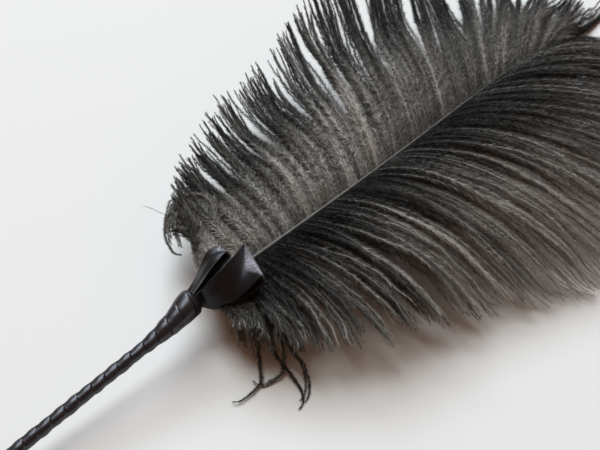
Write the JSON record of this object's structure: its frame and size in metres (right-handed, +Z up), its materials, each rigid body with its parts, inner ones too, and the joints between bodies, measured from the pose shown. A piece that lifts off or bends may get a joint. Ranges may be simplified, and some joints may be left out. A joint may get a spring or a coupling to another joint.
{
  "type": "ostrich feather",
  "caption": "Black ostrich plume lying on its side, its quill bound to a slim satin-wound handle with a folded ribbon bow at the neck.",
  "frame": {"origin": "middle of the bottom of the object's box, on the surface that it lies on", "axes": "+X from the handle's butt towards the plume's tip, +Z up from the surface that it lies on"},
  "size_m": [0.4406, 0.2098, 0.0617],
  "materials": {
    "dyed_barbs": "soft dyed barbs with a fine silky gloss",
    "stick_wood": "bare turned wood, seen only at the butt",
    "wound_satin": "black satin ribbon, wound tight, glossy along the top",
    "loop_satin": "black satin ribbon, folded, greyish lilac where it catches light"
  },
  "bodies": {
    "root": {"plume": "dyed_barbs", "handle_stick": "stick_wood", "wound_ribbon": "wound_satin", "left_ribbon_loop": "loop_satin", "right_ribbon_loop": "loop_satin"}
  },
  "joints": []
}
